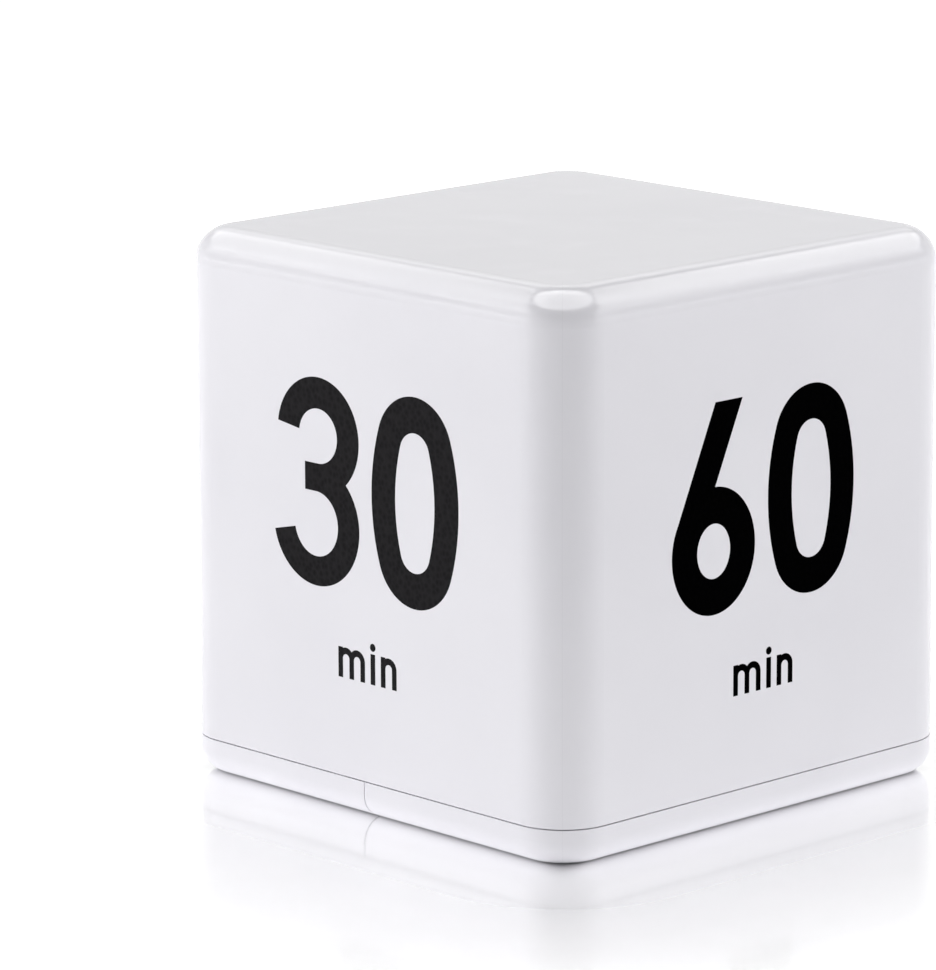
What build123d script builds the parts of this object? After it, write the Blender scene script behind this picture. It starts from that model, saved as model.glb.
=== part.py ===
from build123d import *
import math
import os

os.makedirs("parts", exist_ok=True)

# Cube timer in millimetres. Origin at the bottom centre, +Z up, control face down at Z = 0.
# The numbered faces look along +X (60), +Y (15), -X (20) and -Y (30).
# The two cells and what stands round them set the width of the cube, 63.0.

# Casing
cube_height = 63.5
corner_radius = 6.3
crown_radius = 4.0
foot_radius = 2.8
shell_wall = 2.2
parting_height = 4.35
seam_gap = 0.14
fit_gap = 0.15
cut_over = 1.0
face_angles = {"60": 0, "15": 90, "20": 180, "30": 270}

# Control panel
panel_plate = 2.0
deck_low = 2.05
deck_high = 3.55
lip_wall = 1.8
lip_height = 2.0
web_width = 3.0
hook_wall = 1.2
hook_width = 8.0
hook_top = 12.0
barb_low = 9.5
barb_high = 11.0
barb_depth = 0.75
hook_near_y = -14.0
hook_far_y = 12.0

# Switch channel and display opening in the control face
channel_inset = 12.95
channel_half = 6.05
channel_top_inset = 6.5
channel_bottom_inset = 5.7
channel_wall = 1.4
mouth_radius = 0.35
pit_rise = 8.2
pit_depth = 4.5
pit_floor = 1.4
pit_corner = 1.8
ledge_rise = 9.3
ledge_depth = 1.7
ledge_plate = 1.5
display_depth = 4.3
display_slope = 1.0

# Sound hole and buzzer
sound_x = -5.3
sound_radius = 0.95
buzzer_radius = 4.5
buzzer_height = 5.0
buzzer_ring_wall = 0.8
buzzer_ring_height = 3.5
buzzer_pin_radius = 0.3
buzzer_pin_span = 5.0
buzzer_rim = 0.5

# Battery door
door_plate = 1.8
door_wall = 1.9
rail_depth = 1.0
rail_low = 3.1
rail_high = 3.9
rail_start = 4.0
rail_end_inset = 6.5
rail_room = 0.25
groove_low = 2.95
groove_high = 4.15
tongue_y = 16.0
tongue_width = 8.0
tongue_length = 1.3
tongue_low = 0.95

# Cells and their tray
cell_radius = 5.25
cell_length = 44.5
cell_nub_radius = 1.9
cell_nub_length = 1.0
cell_edge = 0.5
cell_space = 0.5
cell_door_gap = 0.5
spring_room = 5.1
tray_wall = 1.0
tray_roof = 1.3
tray_room = 0.4
bay_end_wall = 1.4
bay_end_room = 2.35
cradle_width = 1.2
cradle_drop = 4.0
cradle_gap = 0.25
cradle_y = 14.0

# Battery contacts
plate_thick = 0.3
plate_setback = 0.1
plate_width = 9.6
plate_height = 9.4
dimple_radius = 1.5
dimple_height = 0.4
tab_width = 2.4
tab_rise = 2.0
tab_gap = 0.15
coil_wire = 0.5
coil_large = 3.6
coil_small = 2.2
coil_turns = 4
coil_seat = 0.05

# Case screws
screw_post_inset_x = 2.0
screw_post_inset_y = 3.8
screw_pad_gap = 0.2
screw_post_radius = 2.3
screw_pad_radius = 2.7
screw_pad_top = 5.9
screw_shaft_radius = 1.0
screw_head_radius = 1.9
screw_head_height = 1.4
case_screw_length = 10.0
screw_fit = 0.05
screw_head_room = 0.2
cross_width = 0.5
cross_depth = 0.7

# Main board
board_low = 13.6
board_thick = 1.2
board_left_inset = 1.1
board_right = -1.0
board_end_inset = 2.0
board_corner = 2.5
board_post_radius = 2.0
board_screw_length = 7.0
board_hole_gap = 0.2
inner_post_x = -3.4
inner_post_inset = 4.8
corner_post_inset = 4.0
pin_gap = 0.1

# Slide switch
knob_bottom_room = 0.5
knob_top_room = 6.0
knob_half = 4.5
knob_low_depth = 1.9
knob_high_depth = 0.5
knob_lift = 0.2
knob_top_corner = 2.4
knob_low_corner = 1.6
knob_edge = 0.45
knob_travel = 4.0
stem_width = 5.0
stem_length = 6.0
stem_top = 8.0
stem_gap = 0.2
stem_barb = 0.5
stem_barb_gap = 0.15
stem_barb_height = 0.75
lever_width = 2.4
lever_length = 3.0
lever_low = 6.4
lever_gap = 0.1
lever_foot_width = 4.2
lever_foot_length = 5.0
lever_foot_height = 1.6
switch_width = 6.6
switch_length = 12.7
switch_low = 8.3
switch_skin = 0.6
switch_pin_width = 0.9
switch_pin_thick = 0.4
switch_pin_pitch = 3.0
pin_stand = 1.0

# Display
display_rise = 10.3
frame_half_x = 7.35
frame_half_y = 10.9
frame_wall = 0.5
frame_mask = 0.5
frame_open_x = 4.9
frame_open_y = 8.0
frame_board_gap = 0.1
lens_thick = 0.8
pocket_gap = 0.2
pocket_wall = 1.2
pocket_height = 3.1
glass_thick = 2.0
glass_gap = 0.15
zebra_width = 1.8
zebra_inset = 0.1
zebra_half_y = 9.6
segment_thick = 0.05
digit_count = 4
digit_tall = 6.8
digit_wide = 2.6
digit_pitch = 3.7
colon_room = 1.1
segment_width = 0.6
segment_space = 0.12
colon_size = 0.6
colon_offset = 1.35

# Board parts; the places of small parts and tilt cans are shares of the board's left and its half length
blob_x = -18.0
blob_y = -3.0
blob_radius = 4.5
blob_height = 1.5
blob_dome = 1.2
crystal_x = -11.0
crystal_y = 6.0
crystal_radius = 1.0
crystal_length = 6.0
chip_length = 2.0
chip_width = 1.25
chip_height = 0.6
chip_shares = ((0.39, -0.15), (0.39, -0.26), (0.5, 0.44), (0.14, -0.29), (0.85, 0.11), (0.85, 0.22))

# Tilt switches
can_radius = 2.3
can_wall = 0.4
can_length = 9.0
can_plug = 2.0
can_flange = 0.8
can_tilt = 12.0
can_shares = {"60": (0.14, 0.62), "15": (0.85, 0.83), "20": (0.94, -0.62), "30": (0.3, -0.88)}
ball_radius = 1.7
ball_gap = 0.1
contact_reach = 0.6
contact_radius = 0.25
contact_out = 0.8
contact_offset = 1.3

# Leads
lead_radius = 0.5
lead_bend_share = 0.45
lead_straight = 4.4
lead_arch = 4.5
lead_rise = 5.0
pad_x = -3.5
red_pad_y = 10.5
black_pad_y = 6.5
lead_tab_height = 1.2

# Printed numbers: heights and places on a face, seen from outside, from the face's centre
print_depth = 0.12
number_height = 23.8
number_middle = 5.4
word_base = -16.3
word_height = 3.5
word_stroke = 0.76
word_width = 9.5
number_shift_shares = {"60": (-0.0125, -0.0125), "15": (0, 0), "20": (0, 0), "30": (0.0275, 0.0125)}
digit_space_share = 0.085
space_after_1_share = 0.166
digit_width_shares = {"0": 0.585, "1": 0.334, "2": 0.58, "3": 0.576, "5": 0.6, "6": 0.55}
letter_room_share = 0.69
letter_step_share = 2.38
letter_gap_share = 1.2
letter_dot_share = 0.6

# Places that follow from the sizes above
cell_first_x = seam_gap / 2 + tray_wall + tray_room + cell_radius
cell_pitch = 2 * cell_radius + cell_space
cell_height = door_plate + cell_door_gap + cell_radius
tray_low_x = cell_first_x - cell_radius - tray_room
tray_high_x = cell_first_x + cell_pitch + cell_radius + tray_room
tray_high = cell_height + cell_radius + tray_room
tray_top = tray_high + tray_roof
plate_face = (cell_length + dimple_height + spring_room) / 2
bay_half = plate_face + plate_thick + plate_setback
half_by_length = bay_half + bay_end_wall + bay_end_room + fit_gap
half_by_breadth = tray_high_x + tray_wall + screw_pad_gap + screw_pad_radius + screw_post_inset_x
inner_half = max(half_by_length, half_by_breadth)
half_width = inner_half + shell_wall
cube_width = 2 * half_width
inner_corner = corner_radius - shell_wall
plug_half = inner_half - fit_gap
plug_corner = inner_corner - fit_gap
seam_low = parting_height - seam_gap / 2
seam_high = parting_height + seam_gap / 2
lip_top = parting_height + lip_height
roof_low = cube_height - shell_wall
pit_floor_top = pit_depth + pit_floor
channel_x = channel_inset - half_width
channel_top = half_width - channel_top_inset
channel_bottom = channel_bottom_inset - half_width
display_y = channel_bottom + display_rise
ledge_bottom = display_y + ledge_rise
pit_bottom = ledge_bottom + pit_rise
knob_bottom = pit_bottom + knob_bottom_room
knob_top = channel_top - knob_top_room
rail_end = half_width - rail_end_inset
groove_y = half_width - door_wall - rail_depth - rail_room
screw_post_x = inner_half - screw_post_inset_x
screw_post_y = inner_half - screw_post_inset_y
board_left = board_left_inset - inner_half
board_half = inner_half - board_end_inset
board_top = board_low + board_thick
knob_middle = (knob_bottom + knob_top) / 2
switch_middle = knob_middle + knob_travel / 2
mask_low = display_depth + lens_thick
glass_low = mask_low + frame_mask + segment_thick
glass_high = glass_low + glass_thick
pocket_top = display_depth + pocket_height
nub_tip = plate_face - dimple_height
cell_tail = cell_length - nub_tip
hook_places = (hook_near_y, hook_far_y)
inner_post_y = inner_half - inner_post_inset
corner_post = inner_half - corner_post_inset
post_places = ((inner_post_x, inner_post_y), (inner_post_x, -inner_post_y), (-corner_post, corner_post))


def block(low, high):
    """Box between its lowest and its highest corner."""
    sizes = [top - bottom for bottom, top in zip(low, high)]
    return Pos(*low) * Box(*sizes, align=(Align.MIN, Align.MIN, Align.MIN))


def post(place, low, high, radius):
    """Upright cylinder at a place in plan, between two heights."""
    standing = (Align.CENTER, Align.CENTER, Align.MIN)
    return Pos(place[0], place[1], low) * Cylinder(radius, high - low, align=standing)


def rod_y(x, z, low, high, radius):
    """Cylinder along Y between two stations."""
    start = Plane(origin=(x, low, z), z_dir=(0, 1, 0))
    return extrude(start * Circle(radius), amount=high - low)


def plan_block(half, corner, low, high):
    """Square block with rounded upright edges."""
    outline = RectangleRounded(2 * half, 2 * half, corner)
    return extrude(Pos(0, 0, low) * outline, amount=high - low)


def end_face(body, top):
    """The highest or the lowest face of a body."""
    faces = body.faces().sort_by(Axis.Z)
    return faces[-1] if top else faces[0]


def cube_body():
    """The whole cube with its rounded upright, top and bottom edges."""
    body = plan_block(half_width, corner_radius, 0, cube_height)
    body = fillet(end_face(body, True).edges(), crown_radius)
    return fillet(end_face(body, False).edges(), foot_radius)


def face_plane(angle):
    """Plane on a numbered face, its X to the right and its Y up as read from outside."""
    outward = Vector(1, 0, 0).rotate(Axis.Z, angle)
    right = Vector(0, 1, 0).rotate(Axis.Z, angle)
    middle = outward * half_width + Vector(0, 0, cube_height / 2)
    return Plane(origin=middle, x_dir=right, z_dir=outward)


def oval(width, height, end_radius):
    """Tall oval of four tangent arcs, centred on the origin."""
    across = width / 2
    rise = height / 2
    end_height = rise - end_radius
    side_radius = (across**2 + end_height**2 - end_radius**2) / (2 * (across - end_radius))
    side_offset = side_radius - across
    lean = Vector(side_offset, end_height).normalized() * end_radius
    join = (lean.X, end_height + lean.Y)
    arcs = [
        ThreePointArc((join[0], -join[1]), (across, 0), join),
        ThreePointArc(join, (0, rise), (-join[0], join[1])),
        ThreePointArc((-join[0], join[1]), (-across, 0), (-join[0], -join[1])),
        ThreePointArc((-join[0], -join[1]), (0, -rise), (join[0], -join[1])),
    ]
    return make_face(arcs)


def fan(reach, start, end):
    """Wedge from the origin between two angles, in steps of under a quarter turn."""
    steps = math.ceil((end - start) / 60)
    angles = [math.radians(start + (end - start) * step / steps) for step in range(steps + 1)]
    rim = [(reach * math.cos(angle), reach * math.sin(angle)) for angle in angles]
    return make_face(Polyline((0, 0), *rim, close=True))


def bowl(centre_shares, outer_shares, inner_shares, mouth=None):
    """Round stroke about a centre, closed or open between the two angles of its mouth."""
    ring = Ellipse(*outer_shares) - Ellipse(*inner_shares)
    if mouth:
        ring -= fan(2 * max(outer_shares), *mouth)
    return Pos(*centre_shares) * ring


def patch(points):
    """Filled outline through a few points."""
    return make_face(Polyline(*points, close=True))


def digit_0():
    outer_shares = (digit_width_shares["0"], 1, 0.252)
    inner_shares = (0.264, 0.66, 0.0985)
    return Pos(digit_width_shares["0"] / 2, 1 / 2) * (oval(*outer_shares) - oval(*inner_shares))


def digit_1():
    stem_shares = [(0.172, 0), (0.334, 0), (0.334, 1), (0.172, 1)]
    flag_shares = [(0.18, 1), (0.095, 1), (0, 0.88), (0.045, 0.8), (0.18, 0.87)]
    return patch(stem_shares) + patch(flag_shares)


def digit_2():
    centre_shares = (0.3, 0.725)
    outer_shares = (0.275, 0.275)
    inner_shares = (0.125, 0.13)
    lip_shares = [(0.025, 0.65), (0.175, 0.65), (0.175, 0.73), (0.025, 0.73)]
    slope_shares = [(0.525, 0.567), (0.27, 0.15), (0.1, 0.1), (0, 0.13), (0.402, 0.652), (0.46, 0.66)]
    foot_shares = [(0, 0), (0.58, 0), (0.58, 0.155), (0, 0.155)]
    hook = bowl(centre_shares, outer_shares, inner_shares, (180, 325))
    return hook + patch(lip_shares) + patch(slope_shares) + patch(foot_shares)


def digit_3():
    upper_centre_shares = (0.295, 0.719)
    upper_outer_shares = (0.281, 0.281)
    upper_inner_shares = (0.131, 0.131)
    lower_centre_shares = (0.278, 0.298)
    lower_outer_shares = (0.298, 0.298)
    lower_inner_shares = (0.15, 0.156)
    bar_shares = [(0.202, 0.454), (0.295, 0.454), (0.295, 0.588), (0.202, 0.588)]
    upper = bowl(upper_centre_shares, upper_outer_shares, upper_inner_shares, (172, 270))
    lower = bowl(lower_centre_shares, lower_outer_shares, lower_inner_shares, (90, 193))
    upper_room = Pos(*upper_centre_shares) * Ellipse(*upper_inner_shares)
    lower_room = Pos(*lower_centre_shares) * Ellipse(*lower_inner_shares)
    return (upper + patch(bar_shares) - lower_room) + (lower - upper_room)


def digit_5():
    centre_shares = (0.29, 0.335)
    outer_shares = (0.31, 0.335)
    inner_shares = (0.155, 0.195)
    stroke_shares = [(0.06, 0.48), (0.185, 0.48), (0.205, 0.5), (0.205, 1), (0.06, 1)]
    bar_shares = [(0.06, 0.862), (0.555, 0.862), (0.555, 1), (0.06, 1)]
    belly = bowl(centre_shares, outer_shares, inner_shares, (128, 208))
    return belly + patch(stroke_shares) + patch(bar_shares)


def digit_6():
    centre_shares = (0.275, 0.302)
    outer_shares = (0.275, 0.302)
    inner_shares = (0.1087, 0.13)
    stem_shares = [(0.2816, 1), (0.4613, 1), (0.2858, 0.611), (0.24, 0.52), (0.036, 0.45)]
    room = Pos(*centre_shares) * Ellipse(*inner_shares)
    return bowl(centre_shares, outer_shares, inner_shares) + (patch(stem_shares) - room)


digit_shapes = {"0": digit_0, "1": digit_1, "2": digit_2, "3": digit_3, "5": digit_5, "6": digit_6}


def digit_space(digit):
    """Space between a digit and the next one."""
    return space_after_1_share if digit == "1" else digit_space_share


def number_sketch(text):
    """The printed number, centred on the middle of its own width and height."""
    widths = [digit_width_shares[digit] for digit in text]
    spaces = [digit_space(digit) for digit in text[:-1]] + [0]
    start = -(sum(widths) + sum(spaces)) / 2
    marks = Sketch()
    for digit, width, space in zip(text, widths, spaces):
        marks += Pos(start, -1 / 2) * digit_shapes[digit]()
        start += width + space
    return scale(marks, by=number_height)


def upright(left, bottom, width, height):
    """One straight stroke of a letter."""
    return patch([(left, bottom), (left + width, bottom), (left + width, bottom + height), (left, bottom + height)])


def arch(left):
    """The half round of an n, from its left stem."""
    inner = word_stroke * letter_room_share
    outer = inner + word_stroke
    shoulder = word_height - outer
    half_ring = Circle(outer) - Circle(inner) - fan(2 * outer, 180, 360)
    leg = upright(left + outer + inner, 0, word_stroke, shoulder)
    return Pos(left + outer, shoulder) * half_ring + leg


def word_sketch():
    """The word min, centred on its own width, standing on the origin's height."""
    step = word_stroke * letter_step_share
    letter_gap = word_stroke * letter_gap_share
    dot_radius = word_stroke * letter_dot_share
    left = -word_width / 2
    letters = upright(left, 0, word_stroke, word_height) + arch(left) + arch(left + step)
    left += 2 * step + word_stroke + letter_gap
    letters += upright(left, 0, word_stroke, word_height)
    letters += Pos(left + word_stroke / 2, word_height + word_stroke) * Circle(dot_radius)
    left += word_stroke + letter_gap
    letters += upright(left, 0, word_stroke, word_height) + arch(left)
    return letters


def marking(text):
    """One face's print, inlaid flush in the face."""
    across, up = (number_height * share for share in number_shift_shares[text])
    marks = Pos(across, number_middle + up) * number_sketch(text)
    marks += Pos(across, word_base + up) * word_sketch()
    return extrude(face_plane(face_angles[text]) * marks, amount=-print_depth)


def housing_shell(markings):
    """Five-sided shell with its screw posts and the catch pockets."""
    body = cube_body() - block((-cube_width, -cube_width, -cut_over), (cube_width, cube_width, seam_high))
    room = plan_block(inner_half, inner_corner, 0, roof_low)
    body -= fillet(end_face(room, True).edges(), crown_radius - shell_wall)
    for side in (-1, 1):
        place = (screw_post_x, side * screw_post_y)
        stand = post(place, screw_pad_top, roof_low + fit_gap, screw_post_radius)
        body += stand & plan_block(half_width - shell_wall / 2, corner_radius - shell_wall / 2, 0, cube_height)
        depth = screw_pad_top + case_screw_length
        body -= post(place, screw_pad_top - cut_over, depth, screw_shaft_radius + screw_fit)
    for place in hook_places:
        low = (-inner_half - barb_depth - fit_gap, place - hook_width / 2 - fit_gap, barb_low - fit_gap)
        high = (-inner_half + cut_over, place + hook_width / 2 + fit_gap, barb_high + fit_gap)
        body -= block(low, high)
    for marks in markings:
        body -= marks
    return body


def channel_outline(grow):
    """Outline of the switch channel: square below, round above."""
    width = channel_half + grow
    bend = channel_top - channel_half
    bottom = channel_bottom - grow
    edges = [
        Line((channel_x - width, bottom), (channel_x + width, bottom)),
        Line((channel_x + width, bottom), (channel_x + width, bend)),
        ThreePointArc((channel_x + width, bend), (channel_x, bend + width), (channel_x - width, bend)),
        Line((channel_x - width, bend), (channel_x - width, bottom)),
    ]
    return make_face(edges)


def channel_slice(bottom, top, depth, corner):
    """The part of the channel between two stations, cut to a depth from the face."""
    cutter = extrude(Pos(0, 0, -cut_over) * channel_outline(0), amount=depth + cut_over)
    low = (channel_x - cube_width, bottom, -2 * cut_over)
    high = (channel_x + cube_width, top, depth + cut_over)
    piece = cutter & block(low, high)
    if corner:
        upright_edges = piece.edges().filter_by(Axis.Z).group_by(Axis.Y)[0]
        piece = fillet(upright_edges, corner)
    return piece


def display_opening():
    """The well over the display; its lower wall slopes in."""
    side = [
        (channel_bottom, -cut_over),
        (ledge_bottom, -cut_over),
        (ledge_bottom, display_depth + cut_over / 2),
        (channel_bottom + display_slope, display_depth + cut_over / 2),
        (channel_bottom + display_slope, display_depth),
        (channel_bottom, 0),
    ]
    start = Plane(origin=(channel_x - channel_half, 0, 0), x_dir=(0, 1, 0), z_dir=(1, 0, 0))
    return extrude(start * patch(side), amount=2 * channel_half)


def display_block(grow_x, grow_y, low, high):
    """Block centred on the display, wider than the display frame by the given amounts."""
    corner = (frame_half_x + grow_x, frame_half_y + grow_y)
    return block(
        (channel_x - corner[0], display_y - corner[1], low),
        (channel_x + corner[0], display_y + corner[1], high),
    )


def panel_channel():
    """What stands up inside the control face around the switch and the display."""
    walls = extrude(Pos(0, 0, panel_plate / 2) * channel_outline(channel_wall), amount=pit_floor_top - panel_plate / 2)
    grow = pocket_gap + pocket_wall
    return walls + display_block(grow, grow, panel_plate / 2, pocket_top)


def panel_channel_cuts():
    """The channel's three depths, the stem's slot and the display's pocket."""
    cuts = channel_slice(pit_bottom, channel_top + cut_over, pit_depth, pit_corner)
    cuts += channel_slice(ledge_bottom - cut_over, pit_bottom + pit_corner, ledge_depth, 0)
    cuts += display_opening()
    slot_half = stem_width / 2 + stem_gap
    slot_reach = stem_length / 2 + stem_gap
    cuts += block(
        (channel_x - slot_half, knob_middle - slot_reach, pit_depth - cut_over),
        (channel_x + slot_half, knob_middle + knob_travel + slot_reach, pit_floor_top + cut_over),
    )
    cuts += display_block(pocket_gap, pocket_gap, display_depth, pocket_top + cut_over)
    hollow = ledge_depth + ledge_plate
    pocket_end = display_y + frame_half_y + pocket_gap + pocket_wall
    cuts += block(
        (channel_x - channel_half + channel_wall, pocket_end, hollow),
        (channel_x + channel_half - channel_wall, pit_bottom - channel_wall, pit_floor_top + cut_over),
    )
    return cuts


def tray():
    """Battery tray: walls and roof over the two cells, open towards the door."""
    end = bay_half + bay_end_wall
    return block((tray_low_x - tray_wall, -end, deck_low), (tray_high_x + tray_wall, end, tray_top))


def tray_room_cut():
    """The hollow of the tray, less the cradle ribs under its roof."""
    room = block((tray_low_x, -bay_half, -cut_over), (tray_high_x, bay_half, tray_high))
    for place in (-cradle_y, 0, cradle_y):
        low = (tray_low_x, place - cradle_width / 2, tray_high - cradle_drop)
        high = (tray_high_x, place + cradle_width / 2, tray_high)
        rib = block(low, high)
        for number in (0, 1):
            x = cell_first_x + number * cell_pitch
            rib -= rod_y(x, cell_height, -bay_half, bay_half, cell_radius + cradle_gap)
        room -= rib
    return room


def control_panel():
    """Base cover: half of the control face, the deck under the door and the battery tray."""
    plug = plan_block(plug_half, plug_corner, panel_plate / 2, tray_top + cut_over)
    face = cube_body() & block((-cube_width, -cube_width, -cut_over), (-seam_gap / 2, cube_width, seam_low))
    inside = plug_half - lip_wall
    hollow = plan_block(inside, max(plug_corner - lip_wall, fit_gap), panel_plate, cube_height)
    face -= hollow
    ring = plan_block(plug_half, plug_corner, deck_low, lip_top) - hollow
    deck = block((-web_width, -plug_half, deck_low), (plug_half, plug_half, deck_high))
    web = block((-web_width, -plug_half, panel_plate / 2), (-seam_gap / 2, plug_half, deck_high))
    inner = ring + deck + web + tray() + panel_channel()
    ring_radius = buzzer_radius + fit_gap + buzzer_ring_wall
    inner += post((sound_x, 0), panel_plate, panel_plate + buzzer_ring_height, ring_radius)
    for place in post_places:
        inner += post(place, panel_plate / 2, board_low, board_post_radius)
    for side in (-1, 1):
        inner += post((screw_post_x, side * screw_post_y), deck_low, screw_pad_top, screw_pad_radius)
    for place in hook_places:
        low = (-plug_half, place - hook_width / 2, panel_plate)
        inner += block(low, (-plug_half + hook_wall, place + hook_width / 2, hook_top))
    body = face + (inner & plug)
    for place in hook_places:
        low = (-plug_half - barb_depth, place - hook_width / 2, barb_low)
        body += block(low, (-plug_half + hook_wall / 2, place + hook_width / 2, barb_high))
    body -= control_panel_cuts()
    lowest = body.edges().group_by(Axis.Z)[0]
    lowest = lowest.filter_by_position(Axis.X, channel_x - channel_half, channel_x + channel_half)
    mouth = lowest.filter_by_position(Axis.Y, channel_bottom, channel_top)
    return fillet(mouth, mouth_radius)


def control_panel_cuts():
    """Everything that is cut out of the base cover."""
    cuts = panel_channel_cuts() + tray_room_cut()
    cuts += post((sound_x, 0), -cut_over, panel_plate + cut_over, sound_radius)
    cuts += post((sound_x, 0), panel_plate, tray_top, buzzer_radius + fit_gap)
    for place in post_places:
        cuts += post(place, board_low - board_screw_length, board_low + cut_over, screw_shaft_radius + screw_fit)
    seat = deck_low + screw_head_room + screw_head_height
    for side in (-1, 1):
        place = (screw_post_x, side * screw_post_y)
        cuts += post(place, deck_low - cut_over, seat, screw_head_radius + fit_gap)
        cuts += post(place, seat, screw_pad_top + cut_over, screw_shaft_radius + fit_gap)
        cuts += post(place, screw_pad_top, lip_top + cut_over, screw_post_radius + fit_gap)
        near, far = sorted((side * groove_y, side * half_width))
        cuts += block((rail_start - fit_gap, near, groove_low), (half_width, far, groove_high))
        tongue = side * tongue_y
        low = (-tongue_length - fit_gap, tongue - tongue_width / 2 - fit_gap, tongue_low - fit_gap)
        cuts += block(low, (0, tongue + tongue_width / 2 + fit_gap, door_plate + fit_gap))
    for number in (0, 1):
        x = cell_first_x + number * cell_pitch
        low = (x - tab_width / 2 - tab_gap, plate_face - tab_gap, tray_high - cut_over)
        cuts += block(low, (x + tab_width / 2 + tab_gap, bay_half, tray_top + cut_over))
    return cuts


def battery_door():
    """Sliding door: half of the control face with the lower edge of three sides."""
    body = cube_body() & block((seam_gap / 2, -cube_width, -cut_over), (cube_width, cube_width, seam_low))
    inside = half_width - door_wall
    body -= plan_block(inside, corner_radius - door_wall, door_plate, cube_height)
    for side in (-1, 1):
        near, far = sorted((side * (inside - rail_depth), side * (inside + door_wall / 2)))
        body += block((rail_start, near, rail_low), (rail_end, far, rail_high))
        tongue = side * tongue_y
        low = (-tongue_length, tongue - tongue_width / 2, tongue_low)
        body += block(low, (seam_gap / 2 + cut_over, tongue + tongue_width / 2, door_plate))
    return body


def switch_knob():
    """Slide knob: a wedge that rises towards its far end, with its stem and catches."""
    outline = make_face(
        Polyline(
            (channel_x - knob_half, knob_bottom),
            (channel_x + knob_half, knob_bottom),
            (channel_x + knob_half, knob_top),
            (channel_x - knob_half, knob_top),
            close=True,
        )
    )
    corners = outline.vertices().group_by(Axis.Y)
    outline = fillet(corners[-1], knob_top_corner)
    outline = fillet(outline.vertices().group_by(Axis.Y)[0], knob_low_corner)
    base = pit_depth - knob_lift
    body = extrude(outline, amount=base)
    slope = (knob_high_depth - knob_low_depth) / (knob_top - knob_bottom)
    reach = knob_travel
    wedge = [
        (knob_bottom - reach, knob_low_depth - slope * reach),
        (knob_top + reach, knob_high_depth + slope * reach),
        (knob_top + reach, -cut_over),
        (knob_bottom - reach, -cut_over),
    ]
    side = Plane(origin=(channel_x - channel_half, 0, 0), x_dir=(0, 1, 0), z_dir=(1, 0, 0))
    body -= extrude(side * patch(wedge), amount=2 * channel_half)
    body = fillet(end_face(body, False).edges(), knob_edge)
    stem_x = stem_width / 2
    stem_y = stem_length / 2
    body += block(
        (channel_x - stem_x, knob_middle - stem_y, base - knob_edge),
        (channel_x + stem_x, knob_middle + stem_y, stem_top),
    )
    barb = pit_floor_top + stem_barb_gap
    body += block(
        (channel_x - stem_x - stem_barb, knob_middle - stem_y, barb),
        (channel_x + stem_x + stem_barb, knob_middle + stem_y, barb + stem_barb_height),
    )
    grip_x = lever_width / 2 + lever_gap
    grip_y = lever_length / 2 + lever_gap
    body -= block(
        (channel_x - grip_x, knob_middle - grip_y, lever_low - lever_gap),
        (channel_x + grip_x, knob_middle + grip_y, stem_top + cut_over),
    )
    return body


def centred_block(x, y, width, length, low, high):
    """Upright block centred on a place in plan."""
    return block((x - width / 2, y - length / 2, low), (x + width / 2, y + length / 2, high))


def switch_actuator():
    """Lever of the slide switch with its foot inside the case."""
    foot_low = switch_low + switch_skin + lever_gap
    lever = centred_block(channel_x, knob_middle, lever_width, lever_length, lever_low, foot_low + lever_gap)
    foot = centred_block(
        channel_x, knob_middle, lever_foot_width, lever_foot_length, foot_low, foot_low + lever_foot_height
    )
    return lever + foot


def switch_case():
    """Slide switch body with the lever's slot and the room for its foot."""
    body = centred_block(channel_x, switch_middle, switch_width, switch_length, switch_low, board_low)
    slot_x = lever_width + 2 * lever_gap
    slot_y = lever_length + knob_travel + 2 * lever_gap
    body -= centred_block(channel_x, switch_middle, slot_x, slot_y, switch_low - cut_over, switch_low + cut_over)
    room_x = lever_foot_width + 2 * lever_gap
    room_y = lever_foot_length + knob_travel + 2 * lever_gap
    room_low = switch_low + switch_skin
    room_high = room_low + lever_foot_height + 2 * lever_gap
    return body - centred_block(channel_x, switch_middle, room_x, room_y, room_low, room_high)


def switch_pin_stations():
    """Stations of the three terminals along Y."""
    return [switch_middle + number * switch_pin_pitch for number in (-1, 0, 1)]


def switch_pins():
    """The three terminals, through the board."""
    high = board_top + pin_stand
    return [
        centred_block(channel_x, y, switch_pin_thick, switch_pin_width, board_low, high)
        for y in switch_pin_stations()
    ]


def lcd_window():
    """Clear cover that rests on the rim of the display opening."""
    return display_block(0, 0, display_depth, mask_low)


def lcd_frame():
    """Black holder: the mask in front and the walls up to the board."""
    body = display_block(0, 0, mask_low, board_low - frame_board_gap)
    body -= display_block(-frame_wall, -frame_wall, mask_low + frame_mask, board_low)
    opening_x = frame_open_x - frame_half_x
    opening_y = frame_open_y - frame_half_y
    return body - display_block(opening_x, opening_y, mask_low - cut_over, board_low)


def lcd_glass():
    """Display glass behind the mask."""
    shrink = -frame_wall - glass_gap
    return display_block(shrink, shrink, glass_low, glass_high)


def bar_shape(length):
    """One pointed segment lying along X, centred on the origin."""
    point = segment_width / 2
    shoulder = length / 2 - point
    outline = [(-length / 2, 0), (-shoulder, -point), (shoulder, -point)]
    return patch(outline + [(-x, -y) for x, y in outline])


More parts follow.
